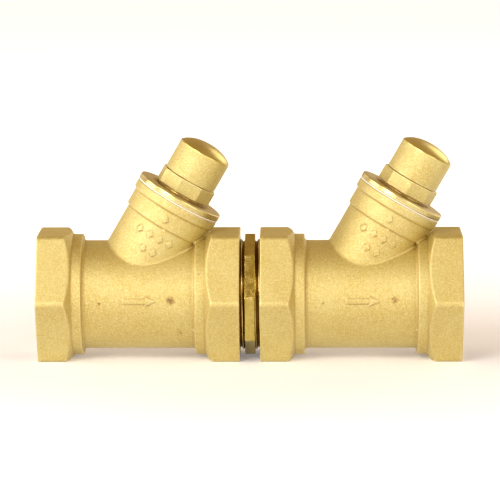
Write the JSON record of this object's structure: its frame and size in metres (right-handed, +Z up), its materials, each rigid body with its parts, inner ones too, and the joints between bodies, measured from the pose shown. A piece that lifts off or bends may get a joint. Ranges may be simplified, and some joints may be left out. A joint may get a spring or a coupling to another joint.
{
  "type": "y strainer",
  "caption": "Brass Y strainers in series, joined by a threaded nipple, with leaning branches, screens inside, screwed bonnets and domed caps over shut-off spindles.",
  "frame": {"origin": "on the plane of the lower hexagon flats, under the middle of the joining nipple, at the middle of the footprint", "axes": "+X along the pipe in the flow direction, +Y across the pipe away from the side with the flow arrows, +Z up"},
  "size_m": [0.2266, 0.0782, 0.1184],
  "materials": {
    "cast_brass": "hot-formed brass, sand blasted, pale gold and matt",
    "cap_brass": "sand blasted brass with a polished dome",
    "turned_brass": "turned brass with fine tool marks",
    "nipple_brass": "turned brass, darker, with bright thread crests",
    "spindle_brass": "turned brass",
    "stainless_steel": "perforated and pressed stainless steel",
    "white_ptfe": "white PTFE",
    "black_rubber": "black nitrile rubber"
  },
  "bodies": {
    "strainer_bodies": {"upstream_body": "cast_brass", "joining_nipple": "nipple_brass", "downstream_body": "cast_brass"},
    "upstream_screen_set": {"upstream_screen": "stainless_steel", "upstream_screen_lower_ring": "stainless_steel", "upstream_screen_upper_ring": "stainless_steel"},
    "upstream_bonnet_set": {"upstream_bonnet": "turned_brass", "upstream_bonnet_gasket": "white_ptfe"},
    "upstream_disc_set": {"upstream_disc": "spindle_brass", "upstream_disc_seal": "black_rubber", "upstream_seal_washer": "stainless_steel", "upstream_disc_nut": "spindle_brass"},
    "upstream_spindle_set": {"upstream_spindle": "spindle_brass", "upstream_spindle_lower_o_ring": "black_rubber", "upstream_spindle_upper_o_ring": "black_rubber"},
    "upstream_cap_seal_ring": {"upstream_cap_seal": "black_rubber"},
    "upstream_cap_set": {"upstream_cap": "cap_brass"},
    "downstream_screen_set": {"downstream_screen": "stainless_steel", "downstream_screen_lower_ring": "stainless_steel", "downstream_screen_upper_ring": "stainless_steel"},
    "downstream_bonnet_set": {"downstream_bonnet": "turned_brass", "downstream_bonnet_gasket": "white_ptfe"},
    "downstream_disc_set": {"downstream_disc": "spindle_brass", "downstream_disc_seal": "black_rubber", "downstream_seal_washer": "stainless_steel", "downstream_disc_nut": "spindle_brass"},
    "downstream_spindle_set": {"downstream_spindle": "spindle_brass", "downstream_spindle_lower_o_ring": "black_rubber", "downstream_spindle_upper_o_ring": "black_rubber"},
    "downstream_cap_seal_ring": {"downstream_cap_seal": "black_rubber"},
    "downstream_cap_set": {"downstream_cap": "cap_brass"}
  },
  "joints": [
    {"name": "upstream_screen_lift", "type": "slide", "parent": "strainer_bodies", "child": "upstream_screen_set", "axis": [0.5, 0, 0.866], "range_m": [0, 0.01125]},
    {"name": "upstream_bonnet_turn", "type": "hinge", "parent": "upstream_screen_set", "child": "upstream_bonnet_set", "pos_m": [-0.06815, 0, 0.0339], "axis": [0.5, 0, 0.866], "range_deg": [0, 2700]},
    {"name": "upstream_disc_lift", "type": "slide", "parent": "upstream_bonnet_set", "child": "upstream_disc_set", "axis": [0.5, 0, 0.866], "range_m": [0, 0.009]},
    {"name": "upstream_spindle_turn", "type": "hinge", "parent": "upstream_disc_set", "child": "upstream_spindle_set", "pos_m": [-0.06815, 0, 0.0339], "axis": [0.5, 0, 0.866], "range_deg": [0, 1080]},
    {"name": "upstream_cap_seal_lift", "type": "slide", "parent": "upstream_bonnet_set", "child": "upstream_cap_seal_ring", "axis": [0.5, 0, 0.866], "range_m": [0, 0.0075]},
    {"name": "upstream_cap_turn", "type": "hinge", "parent": "upstream_cap_seal_ring", "child": "upstream_cap_set", "pos_m": [-0.06815, 0, 0.0339], "axis": [0.5, 0, 0.866], "range_deg": [0, 1800]},
    {"name": "downstream_screen_lift", "type": "slide", "parent": "strainer_bodies", "child": "downstream_screen_set", "axis": [0.5, 0, 0.866], "range_m": [0, 0.01125]},
    {"name": "downstream_bonnet_turn", "type": "hinge", "parent": "downstream_screen_set", "child": "downstream_bonnet_set", "pos_m": [0.05055, 0, 0.0339], "axis": [0.5, 0, 0.866], "range_deg": [0, 2700]},
    {"name": "downstream_disc_lift", "type": "slide", "parent": "downstream_bonnet_set", "child": "downstream_disc_set", "axis": [0.5, 0, 0.866], "range_m": [0, 0.009]},
    {"name": "downstream_spindle_turn", "type": "hinge", "parent": "downstream_disc_set", "child": "downstream_spindle_set", "pos_m": [0.05055, 0, 0.0339], "axis": [0.5, 0, 0.866], "range_deg": [0, 1080]},
    {"name": "downstream_cap_seal_lift", "type": "slide", "parent": "downstream_bonnet_set", "child": "downstream_cap_seal_ring", "axis": [0.5, 0, 0.866], "range_m": [0, 0.0075]},
    {"name": "downstream_cap_turn", "type": "hinge", "parent": "downstream_cap_seal_ring", "child": "downstream_cap_set", "pos_m": [0.05055, 0, 0.0339], "axis": [0.5, 0, 0.866], "range_deg": [0, 1800]}
  ],
  "couplings": [
    {"joint": "upstream_screen_lift", "follows": "upstream_bonnet_turn", "m_per_rad": 0.00023873},
    {"joint": "upstream_spindle_turn", "follows": "upstream_disc_lift", "rad_per_m": 2094.4},
    {"joint": "upstream_cap_seal_lift", "follows": "upstream_cap_turn", "m_per_rad": 0.00023873},
    {"joint": "downstream_screen_lift", "follows": "downstream_bonnet_turn", "m_per_rad": 0.00023873},
    {"joint": "downstream_spindle_turn", "follows": "downstream_disc_lift", "rad_per_m": 2094.4},
    {"joint": "downstream_cap_seal_lift", "follows": "downstream_cap_turn", "m_per_rad": 0.00023873}
  ]
}
